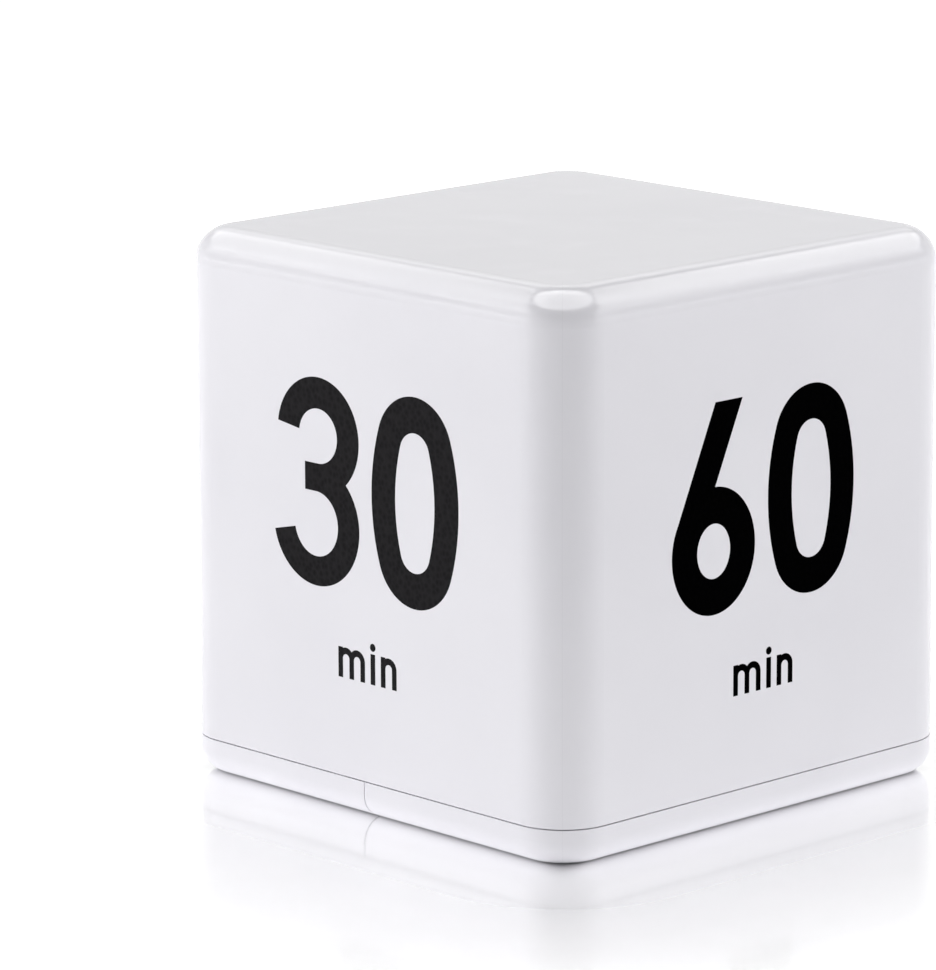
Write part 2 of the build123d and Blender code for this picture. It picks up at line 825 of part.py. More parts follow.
def lcd_segments():
    """The segments of the four digits and the colon; the digits stand across the channel."""
    tall = digit_tall / 2 - segment_width / 2
    wide = digit_wide / 2 - segment_width / 2
    lying = bar_shape(2 * wide - segment_space)
    standing = Rot(0, 0, 90) * bar_shape(tall - segment_space)
    digit = [Pos(0, y) * lying for y in (-tall, 0, tall)]
    digit += [Pos(x, y) * standing for x in (-wide, wide) for y in (-tall / 2, tall / 2)]
    front = Plane(origin=(channel_x, display_y, glass_low), x_dir=(0, 1, 0), z_dir=(0, 0, -1))
    solids = []
    for number in range(digit_count):
        middle = number - (digit_count - 1) / 2
        place = middle * digit_pitch + math.copysign(colon_room / 2, middle)
        for bar in digit:
            solids.append(extrude(front * (Pos(place, 0) * bar), amount=segment_thick))
    for side in (-1, 1):
        dot = Pos(0, side * colon_offset) * Rectangle(colon_size, colon_size)
        solids.append(extrude(front * dot, amount=segment_thick))
    return solids


def zebra_strip(side):
    """Rubber contact strip between the glass and the board."""
    edge = frame_half_x - frame_wall - glass_gap - zebra_inset
    x = channel_x + side * (edge - zebra_width / 2)
    return centred_block(x, display_y, zebra_width, 2 * zebra_half_y, glass_high, board_low)


def buzzer():
    """Round buzzer can with its sound port over the hole in the face."""
    can = post((sound_x, 0), panel_plate, panel_plate + buzzer_height, buzzer_radius)
    can = fillet(can.edges(), buzzer_rim)
    return can - post((sound_x, 0), panel_plate - cut_over, panel_plate + cut_over, sound_radius)


def buzzer_pin_stations():
    """Stations of the two buzzer pins along X."""
    return [sound_x + side * buzzer_pin_span / 2 for side in (-1, 1)]


def buzzer_pins():
    """The two pins, through the board."""
    low = panel_plate + buzzer_height
    return [post((x, 0), low, board_top + pin_stand, buzzer_pin_radius) for x in buzzer_pin_stations()]


def main_board():
    """Circuit board on its posts."""
    middle = (board_left + board_right) / 2
    outline = RectangleRounded(board_right - board_left, 2 * board_half, board_corner)
    body = extrude(Pos(middle, 0, board_low) * outline, amount=board_thick)
    for place in post_places:
        body -= post(place, board_low - cut_over, board_top + cut_over, screw_shaft_radius + board_hole_gap)
    for x in buzzer_pin_stations():
        body -= post((x, 0), board_low - cut_over, board_top + cut_over, buzzer_pin_radius + pin_gap)
    for y in switch_pin_stations():
        thick = switch_pin_thick + 2 * pin_gap
        width = switch_pin_width + 2 * pin_gap
        body -= centred_block(channel_x, y, thick, width, board_low - cut_over, board_top + cut_over)
    return body


def chip_blob():
    """Black resin dome over the timer chip."""
    dome = post((blob_x, blob_y), board_top, board_top + blob_height, blob_radius)
    return fillet(end_face(dome, True).edges(), blob_dome)


def crystal():
    """Clock crystal in its small can, lying on the board."""
    low = crystal_y - crystal_length / 2
    return rod_y(crystal_x, board_top + crystal_radius, low, low + crystal_length, crystal_radius)


def chip_parts():
    """Small resistors and capacitors on the board."""
    high = board_top + chip_height
    places = [(board_left * across, board_half * along) for across, along in chip_shares]
    return [centred_block(x, y, chip_length, chip_width, board_top, high) for x, y in places]


def screw(length):
    """Cross-head screw, head up on the origin's height, shaft down."""
    body = post((0, 0), 0, screw_head_height, screw_head_radius)
    body = fillet(end_face(body, True).edges(), screw_head_height / 2)
    body += post((0, 0), -length, 0, screw_shaft_radius)
    arm = 2 * screw_shaft_radius
    low = screw_head_height - cross_depth
    for width, height in ((cross_width, arm), (arm, cross_width)):
        body -= centred_block(0, 0, width, height, low, screw_head_height + cut_over)
    return body


def case_screws():
    """The two screws under the door, heads down."""
    seat = deck_low + screw_head_room + screw_head_height
    length = case_screw_length
    return [
        Pos(screw_post_x, side * screw_post_y, seat) * Rot(180, 0, 0) * screw(length)
        for side in (-1, 1)
    ]


def board_screws():
    """The screws that hold the board on its posts."""
    length = board_screw_length - board_thick
    return [Pos(x, y, board_top) * screw(length) for x, y in post_places]


def cell(number):
    """One AAA cell along Y; the two lie head to tail."""
    facing = 1 - 2 * number
    x = cell_first_x + number * cell_pitch
    body_end = nub_tip - cell_nub_length
    body = rod_y(x, cell_height, -cell_tail, body_end, cell_radius)
    body = fillet(body.edges().filter_by(GeomType.CIRCLE), cell_edge)
    body += rod_y(x, cell_height, body_end - cell_edge, nub_tip, cell_nub_radius)
    if facing < 0:
        body = Pos(2 * x, 0, 0) * Rot(0, 0, 180) * body
    return body


def contact_plate(x_low, x_high):
    """Upright contact plate at the far end of the tray, between two stations along X."""
    low = (x_low, plate_face, cell_height - plate_height / 2)
    high = (x_high, plate_face + plate_thick, cell_height + plate_height / 2)
    return block(low, high)


def dimple(x):
    """Raised contact for a cell's nub."""
    return rod_y(x, cell_height, nub_tip, plate_face + plate_thick / 2, dimple_radius)


def solder_tab(x):
    """Tongue of a plate that stands up through the roof of the tray."""
    low = (x - tab_width / 2, plate_face, cell_height)
    return block(low, (x + tab_width / 2, plate_face + plate_thick, tray_top + tab_rise))


def contact_positive():
    x = cell_first_x
    return contact_plate(x - plate_width / 2, x + plate_width / 2) + dimple(x) + solder_tab(x)


def contact_negative():
    x = cell_first_x + cell_pitch
    return contact_plate(x - plate_width / 2, x + plate_width / 2) + solder_tab(x)


def contact_bridge():
    """Plate that joins the two cells at the near end."""
    far = cell_first_x + cell_pitch
    body = contact_plate(cell_first_x - plate_width / 2, far + plate_width / 2) + dimple(far)
    return mirror(body, Plane.XZ)


def biarc(start, start_way, end, end_way):
    """Two tangent arcs from one point and direction to another."""
    chord = end - start
    ways = start_way + end_way
    square = 2 * (1 - start_way.dot(end_way))
    slope = 2 * chord.dot(ways)
    span = chord.dot(chord)
    reach = (-slope + math.sqrt(slope**2 + 4 * square * span)) / (2 * square)
    first = start + start_way * reach
    joint = (first + end - end_way * reach) / 2
    return [
        TangentArc(start, joint, tangent=start_way),
        TangentArc(joint, end, tangent=joint - first),
    ]


def coil_point(turn, y_low, y_high):
    """Point of the conical coil after some turns."""
    share = turn / coil_turns
    radius = coil_large + (coil_small - coil_large) * share
    angle = 2 * math.pi * turn
    return Vector(radius * math.cos(angle), y_low + (y_high - y_low) * share, radius * math.sin(angle))


def coil_way(turn, y_low, y_high):
    """Direction of the coil's line after some turns."""
    step = 1 / 1000
    ahead = coil_point(turn + step, y_low, y_high)
    return (ahead - coil_point(turn - step, y_low, y_high)).normalized()


def coil_least_gap(y_low, y_high):
    """Least free gap between one turn of the coil and the next, measured on points."""
    steps = 36
    line = [coil_point(step / steps, y_low, y_high) for step in range(coil_turns * steps + 1)]
    distances = [
        (line[late] - line[early]).length
        for early in range(len(line))
        for late in range(early + steps // 2, len(line))
    ]
    return min(distances) - coil_wire


def battery_spring():
    """Conical spring from the near plate to the tail of the first cell."""
    y_low = -plate_face + coil_wire / 2 + coil_seat
    y_high = -cell_tail - coil_wire / 2 - coil_seat
    edges = []
    quarters = coil_turns * 4
    for quarter in range(quarters):
        turn = quarter / 4
        after = (quarter + 1) / 4
        edges += biarc(
            coil_point(turn, y_low, y_high), coil_way(turn, y_low, y_high),
            coil_point(after, y_low, y_high), coil_way(after, y_low, y_high),
        )
    path = Wire([edge for line in edges for edge in line.edges()])
    section = Plane(origin=path @ 0, z_dir=path % 0) * Circle(coil_wire / 2)
    print("coil least gap", round(coil_least_gap(y_low, y_high), 2))
    return sweep(section, path=path)


def spring_bridge():
    return Pos(cell_first_x, 0, cell_height) * battery_spring()


def spring_negative():
    return Pos(cell_first_x + cell_pitch, 0, cell_height) * Rot(0, 0, 180) * battery_spring()


def lead(number, route_shares, pad_y):
    """Insulated wire from a plate's tongue along straight runs and tangent arcs down to its pad."""
    x = cell_first_x + number * cell_pitch
    y = plate_face - lead_straight
    height = tray_top + lead_tab_height
    points = [(x, plate_face, height), (x, y, height)]
    for across, along, rise in route_shares:
        points.append((x + (pad_x - x) * across, y + (pad_y - y) * along, height + lead_arch * rise))
    points += [(pad_x, pad_y, board_top + lead_rise), (pad_x, pad_y, board_top)]
    radii = []
    for before, here, after in zip(points, points[1:], points[2:]):
        arriving = Vector(here) - Vector(before)
        leaving = Vector(after) - Vector(here)
        turn = math.radians(arriving.get_angle(leaving))
        shorter = min(arriving.length, leaving.length)
        radii.append(lead_bend_share * shorter / math.tan(turn / 2))
    print("lead radii", [round(radius, 1) for radius in radii])
    path = FilletPolyline(*points, radius=radii)
    section = Plane(origin=path @ 0, z_dir=path % 0) * Circle(lead_radius)
    wire = sweep(section, path=path)
    print("lead volume over section by length", round(wire.volume / (section.area * path.length), 3))
    return wire


def battery_lead_red():
    """From the positive plate over the tray to the board; the route is in shares of its reach and rise."""
    route_shares = [(0.21, 0.396, 0.556), (0.6, 0.733, 1)]
    return lead(0, route_shares, red_pad_y)


def battery_lead_black():
    """From the negative plate over the tray to the board."""
    route_shares = [(0.12, 0.369, 0.51), (0.374, 0.652, 0.91), (0.685, 0.865, 1.09)]
    return lead(1, route_shares, black_pad_y)


def sensor_frame(name):
    """Plane at the low end of a tilt can: Z along the can towards its contacts."""
    heading = math.radians(face_angles[name] + 180)
    tilt = math.radians(can_tilt)
    along = Vector(math.cos(heading) * math.cos(tilt), math.sin(heading) * math.cos(tilt), math.sin(tilt))
    across = Vector(-math.sin(heading), math.cos(heading), 0)
    share_x, share_y = can_shares[name]
    origin = (board_left * share_x, board_half * share_y, board_top + can_radius * math.cos(tilt))
    return Plane(origin=origin, x_dir=across, z_dir=along)


def sensor_rod(name, low, high, radius):
    """Cylinder on a tilt can's axis between two stations."""
    return extrude(sensor_frame(name) * (Pos(0, 0, low) * Circle(radius)), amount=high - low)


def tilt_can(name):
    """Metal can, closed at its low end."""
    body = sensor_rod(name, 0, can_length, can_radius)
    return body - sensor_rod(name, can_wall, can_length + cut_over, can_radius - can_wall)


def tilt_base(name):
    """Header that closes the can and carries the centre contact and the two legs."""
    plug = can_length - can_plug
    flange = can_length + can_flange
    body = sensor_rod(name, plug, flange, can_radius - can_wall)
    body += sensor_rod(name, can_length, flange, can_radius)
    body += sensor_rod(name, plug - contact_reach, plug + can_plug / 2, contact_radius)
    frame = sensor_frame(name)
    for across in (-contact_offset, contact_offset):
        root = Plane(origin=frame.from_local_coords((across, 0, flange)), z_dir=frame.z_dir)
        body += extrude(root * Circle(contact_radius), amount=contact_out)
        knee = frame.from_local_coords((across, 0, flange + contact_out))
        body += Pos(knee) * Sphere(contact_radius)
        body += post((knee.X, knee.Y), board_top, knee.Z, contact_radius)
    return body


def tilt_ball(name):
    """Ball at rest at the low end of its can."""
    start = can_wall + ball_gap + ball_radius
    return Pos(sensor_frame(name).from_local_coords((0, 0, start))) * Sphere(ball_radius)


def write(name, shape):
    """Write one node's solids."""
    solids = shape if isinstance(shape, list) else [shape]
    shape = Compound(children=[solid for item in solids for solid in item.solids()])
    export_step(shape, f"parts/{name}.step")


markings = {text: marking(text) for text in face_angles}
for text, marks in markings.items():
    write(f"marking_{text}", marks)
write("housing_shell", housing_shell(markings.values()))
write("control_panel", control_panel())
write("battery_door", battery_door())
write("case_screws", case_screws())
write("switch_knob", switch_knob())
write("switch_actuator", switch_actuator())
write("switch_case", switch_case())
write("switch_pins", switch_pins())
write("lcd_window", lcd_window())
write("lcd_frame", lcd_frame())
write("lcd_glass", lcd_glass())
write("lcd_segments", lcd_segments())
write("zebra_strip_inner", zebra_strip(1))
write("zebra_strip_outer", zebra_strip(-1))
write("buzzer", buzzer())
write("buzzer_pins", buzzer_pins())
write("main_board", main_board())
write("board_screws", board_screws())
write("chip_blob", chip_blob())
write("crystal", crystal())
write("chip_parts", chip_parts())
write("cell_inner", cell(0))
write("cell_outer", cell(1))
write("contact_positive", contact_positive())
write("contact_negative", contact_negative())
write("contact_bridge", contact_bridge())
write("spring_bridge", spring_bridge())
write("spring_negative", spring_negative())
write("battery_lead_red", battery_lead_red())
write("battery_lead_black", battery_lead_black())
for text in face_angles:
    write(f"tilt_can_{text}", tilt_can(text))
    write(f"tilt_base_{text}", tilt_base(text))
    write(f"tilt_ball_{text}", tilt_ball(text))
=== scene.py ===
import math

import bpy
from mathutils import Matrix, Vector


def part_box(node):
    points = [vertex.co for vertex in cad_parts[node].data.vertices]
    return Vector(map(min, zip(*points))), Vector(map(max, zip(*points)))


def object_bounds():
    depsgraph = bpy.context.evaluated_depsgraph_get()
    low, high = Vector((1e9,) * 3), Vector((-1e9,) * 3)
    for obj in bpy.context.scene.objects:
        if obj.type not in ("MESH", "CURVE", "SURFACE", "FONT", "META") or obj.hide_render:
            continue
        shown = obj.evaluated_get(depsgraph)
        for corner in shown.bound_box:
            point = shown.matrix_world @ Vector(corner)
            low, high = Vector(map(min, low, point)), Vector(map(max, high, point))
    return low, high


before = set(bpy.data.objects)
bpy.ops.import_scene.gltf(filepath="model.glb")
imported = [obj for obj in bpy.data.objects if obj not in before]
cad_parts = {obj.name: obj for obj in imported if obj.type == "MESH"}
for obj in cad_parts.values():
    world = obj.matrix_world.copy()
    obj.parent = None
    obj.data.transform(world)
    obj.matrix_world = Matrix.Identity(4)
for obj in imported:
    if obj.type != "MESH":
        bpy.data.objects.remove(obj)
cad_low, cad_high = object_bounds()

# Housing shell: the white cube without its control face. One ABS moulding with a fine satin skin,
# and a faint witness line down each upright corner, where the slides of the mould meet.


class Value:
    """A value in a material. Sums, differences and products of values add Math nodes."""

    def __init__(self, tree, socket=None):
        self.tree = tree
        self.socket = socket

    def node(self, kind, settings, inputs, output=0):
        """Any node: first its settings, then the values and links of its sockets."""
        made = self.tree.nodes.new(kind)
        for name, setting in settings.items():
            setattr(made, name, setting)
        for name, value in inputs.items():
            if isinstance(value, Value):
                self.tree.links.new(value.socket, made.inputs[name])
            else:
                made.inputs[name].default_value = value
        return Value(self.tree, made.outputs[output])

    def math(self, operation, *others):
        """A Math node whose first input is this value."""
        return self.node("ShaderNodeMath", {"operation": operation}, dict(enumerate((self, *others))))

    def __add__(self, other):
        return self.math("ADD", other)

    def __radd__(self, other):
        return self.math("ADD", other)

    def __sub__(self, other):
        return self.math("SUBTRACT", other)

    def __rsub__(self, other):
        return self.node("ShaderNodeMath", {"operation": "SUBTRACT"}, {0: other, 1: self})

    def __mul__(self, other):
        return self.math("MULTIPLY", other)

    def __rmul__(self, other):
        return self.math("MULTIPLY", other)

    def __abs__(self):
        return self.math("ABSOLUTE")

    def place(self, stretch=(1, 1, 1)):
        """The point on the piece, in metres, with each axis stretched."""
        point = self.node("ShaderNodeTexCoord", {}, {}, "Object")
        if stretch == (1, 1, 1):
            return point
        return self.node("ShaderNodeVectorMath", {"operation": "MULTIPLY"}, {0: point, 1: stretch})

    def axis(self, name, centre=0.0):
        """One coordinate of the point, in metres from a centre."""
        return self.node("ShaderNodeSeparateXYZ", {}, {"Vector": self.place()}, name) - centre

    def noise(self, lumps, detail=2, stretch=(1, 1, 1)):
        """Cloudy noise from 0 to 1, with so many lumps per metre."""
        inputs = {"Vector": self.place(stretch), "Scale": lumps, "Detail": detail}
        return self.node("ShaderNodeTexNoise", {}, inputs)

    def over(self, start, end):
        """0 up to the start and 1 from the end on, with a smooth rise between them."""
        inputs = {"Value": self, "From Min": start, "From Max": end}
        return self.node("ShaderNodeMapRange", {"interpolation_type": "SMOOTHSTEP"}, inputs)

    def near(self, reach):
        """1 at zero, falling smoothly to 0 at the reach on either side."""
        return 1 - abs(self).over(0.0, reach)

    def mix(self, first, second):
        """The first colour at 0 and the second at 1."""
        first = (*first, 1) if isinstance(first, tuple) else first
        second = (*second, 1) if isinstance(second, tuple) else second
        return self.node("ShaderNodeMix", {"data_type": "RGBA"}, {0: self, 6: first, 7: second}, 2)

    def bump(self, height, depth):
        """A normal from a height, of which 1 stands for a depth in metres."""
        return self.node("ShaderNodeBump", {}, {"Height": height, "Distance": depth})


def material(name, paint):
    """A material whose shader takes the values that paint gives, by the names of its sockets."""
    made = bpy.data.materials.new(name)
    made.use_nodes = True
    shader = made.node_tree.nodes["Principled BSDF"]
    for socket, value in paint(Value(made.node_tree)).items():
        if isinstance(value, Value):
            made.node_tree.links.new(value.socket, shader.inputs[socket])
        else:
            shader.inputs[socket].default_value = (*value, 1) if isinstance(value, tuple) else value
    return made


def dress(made, *names):
    """Gives CAD nodes a material."""
    for name in names:
        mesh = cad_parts[name].data
        mesh.materials.clear()
        mesh.materials.append(made)


corner_radius = 0.0063
corner_start = 2 * (cad_high.x - corner_radius)
witness_width = 0.00007
witness_fade = 0.001
skin_depth = 0.000004


def satin_white(value):
    """Cool white plastic. The witness line runs where x equals y and their sum passes corner_start."""
    x = abs(value.axis("X"))
    y = abs(value.axis("Y"))
    witness = (x - y).near(witness_width) * (x + y).over(corner_start, corner_start + witness_fade)
    drift = value.noise(34).over(0.3, 0.7)
    handled = value.noise(120, 4).over(0.45, 0.75)
    grain = value.noise(4200)
    sink = value.noise(170, 1)
    colour = drift.mix((0.812, 0.803, 0.850), (0.842, 0.833, 0.878))
    return {
        "Base Color": (witness * 0.2).mix(colour, (0.60, 0.60, 0.64)),
        "Roughness": 0.16 + 0.04 * handled + 0.03 * grain,
        "IOR": 1.54,
        "Normal": value.bump(0.5 * grain + 0.8 * sink + 2 * witness, skin_depth),
    }


dress(material("housing_white", satin_white), "housing_shell")

# Printed numbers: thick screen-printed ink. 15, 20 and 60 are a dense black; 30 is a drier, dark grey
# ink that shows its leathery grain.
ink_depth = 0.00001
leather_depth = 0.00006


def dense_ink(value):
    grain = value.noise(2600, 3)
    return {
        "Base Color": grain.over(0.3, 0.7).mix((0.0004, 0.0004, 0.0005), (0.0012, 0.0012, 0.0014)),
        "Roughness": 0.46 + 0.1 * grain,
        "Specular IOR Level": 0.0,
        "IOR": 1.3,
        "Normal": value.bump(grain, ink_depth),
    }


def dry_ink(value):
    cells = value.node("ShaderNodeTexVoronoi", {}, {"Vector": value.place(), "Scale": 1500.0}, "Distance")
    cloud = value.noise(600, 4)
    return {
        "Base Color": cells.over(0.1, 0.75).mix((0.0035, 0.003, 0.004), (0.009, 0.0083, 0.0095)),
        "Roughness": 0.5 + 0.16 * cloud,
        "Specular IOR Level": 0.07,
        "Normal": value.bump(0.7 * cells + 0.5 * cloud, leather_depth),
    }


dress(material("ink_black", dense_ink), "marking_15", "marking_20", "marking_60")
dress(material("ink_grey", dry_ink), "marking_30")

# Control face: the base cover with the switch channel and the battery tray, and beside it the sliding
# door. Both are white ABS from a tool of their own, so their sheen is a little duller than the shell's.


def cover_white(value):
    skin = satin_white(value)
    flow = value.noise(90, 3, (1, 0.25, 1))
    skin["Roughness"] = 0.28 + 0.06 * flow + 0.04 * value.noise(2400)
    return skin


dress(material("cover_white", cover_white), "control_panel", "battery_door")

# Slide knob: a white ABS wedge, polished where the thumb pushes it. Under it the slide switch has a black
# lever, a folded steel case with brushed sides and three tinned pins.
rub_reach = 0.0022
moulding_depth = 0.000008
rolling_depth = 0.000006


def thumb_white(value):
    skin = satin_white(value)
    rubbed = value.axis("Z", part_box("switch_knob")[0].z).near(rub_reach)
    skin["Roughness"] = 0.32 - 0.1 * rubbed + 0.06 * value.noise(700, 3)
    return skin


def black_moulding(value):
    grain = value.noise(3600)
    flow = value.noise(160, 3)
    return {
        "Base Color": flow.over(0.3, 0.7).mix((0.008, 0.008, 0.009), (0.015, 0.015, 0.016)),
        "Roughness": 0.4 + 0.1 * flow + 0.08 * grain,
        "Normal": value.bump(grain, moulding_depth),
    }


def brushed_metal(light, dark, stretch, roughness):
    """A plated metal with duller patches and rolling marks, longest along the axis stretched least."""

    def paint(value):
        lines = value.noise(900, 3, stretch)
        dull = value.noise(260, 4).over(0.4, 0.75)
        return {
            "Base Color": (0.6 * dull + 0.3 * lines).mix(light, dark),
            "Metallic": 1.0,
            "Roughness": roughness + 0.12 * dull + 0.1 * lines,
            "Normal": value.bump(lines, rolling_depth),
        }

    return paint


dress(material("knob_white", thumb_white), "switch_knob")
dress(material("lever_black", black_moulding), "switch_actuator")
switch_steel = brushed_metal((0.66, 0.66, 0.65), (0.42, 0.42, 0.41), (4, 0.3, 4), 0.24)
dress(material("switch_steel", switch_steel), "switch_case")
tinned = brushed_metal((0.78, 0.77, 0.75), (0.52, 0.51, 0.49), (1, 1, 0.5), 0.3)
dress(material("pin_tin", tinned), "switch_pins", "buzzer_pins")

# Display: a clear cover, a black mask that shows as a rim, and the grey-green display glass with every
# segment of its four digits dark. Two rubber strips, layered black and grey, join it to the board.
film_depth = 0.000002
rubber_depth = 0.00001


def clear_cover(value):
    return {
        "Base Color": (0.96, 0.985, 0.97),
        "Roughness": 0.02 + 0.05 * value.noise(500, 3).over(0.55, 0.8),
        "IOR": 1.25,
        "Transmission Weight": 1.0,
    }


def display_grey(value):
    drift = value.noise(150)
    speckle = value.noise(8000, 1)
    return {
        "Base Color": (0.7 * drift + 0.3 * speckle).mix((0.27, 0.33, 0.275), (0.34, 0.40, 0.34)),
        "Roughness": 0.22 + 0.1 * speckle,
        "Normal": value.bump(speckle, film_depth),
    }


def segment_dark(value):
    cloud = value.noise(900)
    return {
        "Base Color": cloud.mix((0.003, 0.008, 0.006), (0.008, 0.016, 0.012)),
        "Roughness": 0.3 + 0.08 * cloud,
        "Specular IOR Level": 0.1,
        "Normal": value.bump(cloud, film_depth),
    }


def layered_rubber(value):
    inputs = {"Vector": value.place(), "Scale": 2600.0}
    layers = value.node("ShaderNodeTexWave", {"bands_direction": "Y"}, inputs)
    dust = value.noise(1500, 3)
    return {
        "Base Color": layers.over(0.35, 0.65).mix((0.012, 0.012, 0.013), (0.30, 0.30, 0.31)),
        "Roughness": 0.62 + 0.2 * dust,
        "Normal": value.bump(0.6 * layers + 0.4 * dust, rubber_depth),
    }


dress(material("cover_clear", clear_cover), "lcd_window")
dress(material("mask_black", black_moulding), "lcd_frame")
dress(material("display_grey", display_grey), "lcd_glass")
dress(material("segment_dark", segment_dark), "lcd_segments")
dress(material("layered_rubber", layered_rubber), "zebra_strip_inner", "zebra_strip_outer")

# Buzzer: a black moulded can that stands in a ring behind the sound hole, with fine turned rings round
# its upright axis.
buzzer_low, buzzer_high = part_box("buzzer")
buzzer_centre = (buzzer_low + buzzer_high) / 2
ring_pitch = 0.0004
ring_depth = 0.000006


def distance(x, y):
    """How far a point lies from zero, by its two coordinates."""
    return (x * x + y * y).math("SQRT")


def zigzag(along, pitch):
    """Up from 0 to 1 and down again, once in every pitch."""
    return (along * (2 / pitch)).math("PINGPONG", 1.0)


def turned_black(value):
    skin = black_moulding(value)
    radius = distance(value.axis("X", buzzer_centre.x), value.axis("Y", buzzer_centre.y))
    skin["Normal"] = value.bump(zigzag(radius, ring_pitch), ring_depth)
    return skin


dress(material("buzzer_black", turned_black), "buzzer")

# Main board: green solder mask over the copper tracks, with the laminate bare at its cut edges. It carries
# the chip under a drop of black resin, the crystal in its nickel can and the small ceramic parts.
track_pitch = 0.00254
track_depth = 0.00002
drop_depth = 0.00012
ceramic_depth = 0.000006


def facing(value, axis):
    """1 where the surface faces either way along an axis, down to 0 where it lies along the axis."""
    direction = value.node("ShaderNodeNewGeometry", {}, {}, "Normal")
    return abs(value.node("ShaderNodeSeparateXYZ", {}, {"Vector": direction}, axis))


def board_green(value):
    lane = value.noise(110, 1).over(0.46, 0.5)
    along_y = zigzag(value.axis("X"), track_pitch).over(0.62, 0.7)
    along_x = zigzag(value.axis("Y"), track_pitch).over(0.62, 0.7)
    copper = (lane * along_y + (1 - lane) * along_x) * value.noise(75, 0).over(0.44, 0.47)
    cut = 1 - facing(value, "Z").over(0.4, 0.6)
    cloud = value.noise(700, 3)
    mask = copper.mix((0.006, 0.085, 0.032), (0.02, 0.17, 0.055))
    return {
        "Base Color": cut.mix(mask, (0.42, 0.36, 0.17)),
        "Roughness": 0.24 + 0.1 * cloud + 0.35 * cut,
        "Normal": value.bump(copper + 0.15 * cloud, track_depth),
    }


def drop_of_resin(value):
    flow = value.noise(420, 2)
    dust = value.noise(5200, 1).over(0.6, 0.8)
    return {
        "Base Color": dust.mix((0.005, 0.005, 0.006), (0.02, 0.02, 0.021)),
        "Roughness": 0.14 + 0.14 * flow + 0.2 * dust,
        "Normal": value.bump(flow, drop_depth),
    }


def chip_ceramic(value):
    """A brown ceramic body, tinned on the two sides that face along Y."""
    grain = value.noise(6500, 2)
    body = grain.mix((0.10, 0.075, 0.055), (0.16, 0.125, 0.095))
    tin = facing(value, "Y").over(0.6, 0.8)
    return {
        "Base Color": tin.mix(body, (0.72, 0.71, 0.69)),
        "Metallic": tin,
        "Roughness": 0.42 + 0.15 * grain,
        "Normal": value.bump(grain, ceramic_depth),
    }


dress(material("board_green", board_green), "main_board")
dress(material("resin_black", drop_of_resin), "chip_blob")
can_nickel = material("can_nickel", brushed_metal((0.76, 0.74, 0.70), (0.50, 0.48, 0.44), (1, 1, 1), 0.16))
dress(can_nickel, "crystal")
dress(material("chip_ceramic", chip_ceramic), "chip_parts")

# Tilt switches: four nickel cans lie on the board a little aslant, each turned for its numbered face. Each
# has an insulating base with its pins, and a gold-plated ball that rolls to its contacts.
resin_depth = 0.00001
wear_depth = 0.000003


def base_resin(value):
    grain = value.noise(3000, 3)
    return {
        "Base Color": grain.mix((0.030, 0.016, 0.010), (0.055, 0.030, 0.018)),
        "Roughness": 0.45 + 0.2 * grain,
        "Normal": value.bump(grain, resin_depth),
    }


def ball_gold(value):
    worn = value.noise(900, 4).over(0.5, 0.75)
    return {
        "Base Color": worn.mix((0.95, 0.66, 0.27), (0.74, 0.52, 0.26)),
        "Metallic": 1.0,
        "Roughness": 0.12 + 0.16 * worn,
        "Normal": value.bump(worn, wear_depth),
    }


for face in ("15", "20", "30", "60"):
    dress(can_nickel, "tilt_can_" + face)
    dress(material("base_resin_" + face, base_resin), "tilt_base_" + face)
    dress(material("ball_gold_" + face, ball_gold), "tilt_ball_" + face)

# Battery contacts: nickel-plated steel plates in slots at the ends of the tray, two of them with a coil
# spring, and soldered to the plates the red and the black lead that arch over to the board.
sleeve_depth = 0.000008


def sleeve(light, dark):
    """A soft plastic sleeve: a little waxy, with pale rub marks."""

    def paint(value):
        rub = value.noise(1300, 4).over(0.5, 0.8)
        return {
            "Base Color": rub.mix(dark, light),
            "Roughness": 0.36 + 0.2 * rub,
            "Normal": value.bump(value.noise(2200), sleeve_depth),
        }

    return paint


nickel = brushed_metal((0.80, 0.78, 0.73), (0.56, 0.54, 0.49), (5, 1, 0.4), 0.2)
dress(material("contact_nickel", nickel), "contact_positive", "contact_negative", "contact_bridge")
drawn_wire = brushed_metal((0.78, 0.76, 0.72), (0.50, 0.48, 0.45), (1, 1, 1), 0.22)
dress(material("spring_nickel", drawn_wire), "spring_bridge", "spring_negative")
dress(material("lead_red", sleeve((0.62, 0.035, 0.025), (0.47, 0.012, 0.010))), "battery_lead_red")
dress(material("lead_black", sleeve((0.03, 0.03, 0.032), (0.010, 0.010, 0.011))), "battery_lead_black")

# Cells: two AAA cells, each a nickel-plated can in a plain shrink sleeve: a dark grey band at the + end, a
# pale grey body, a plus and a minus sign, and bare metal at the button and at the flat end.
button_length = 0.001
rim_width = 0.0007
edge_fade = 0.0001
band_length = 0.012
line_offset = 0.0006
line_reach = 0.0004
sign_size = 0.0034
sign_stroke = 0.0007
plus_inset = 0.0065
minus_inset = 0.0055
sign_level = -0.0030
sign_level_fade = 0.0002
print_fade = 0.00005
cell_depth = 0.00004


def bar(across, width):
    """1 within a printed bar of a width round zero."""
    return 1 - abs(across).over(width / 2, width / 2 + print_fade)


def highest(first, *others):
    """The highest of several values."""
    top = first
    for other in others:
        top = top.math("MAXIMUM", other)
    return top


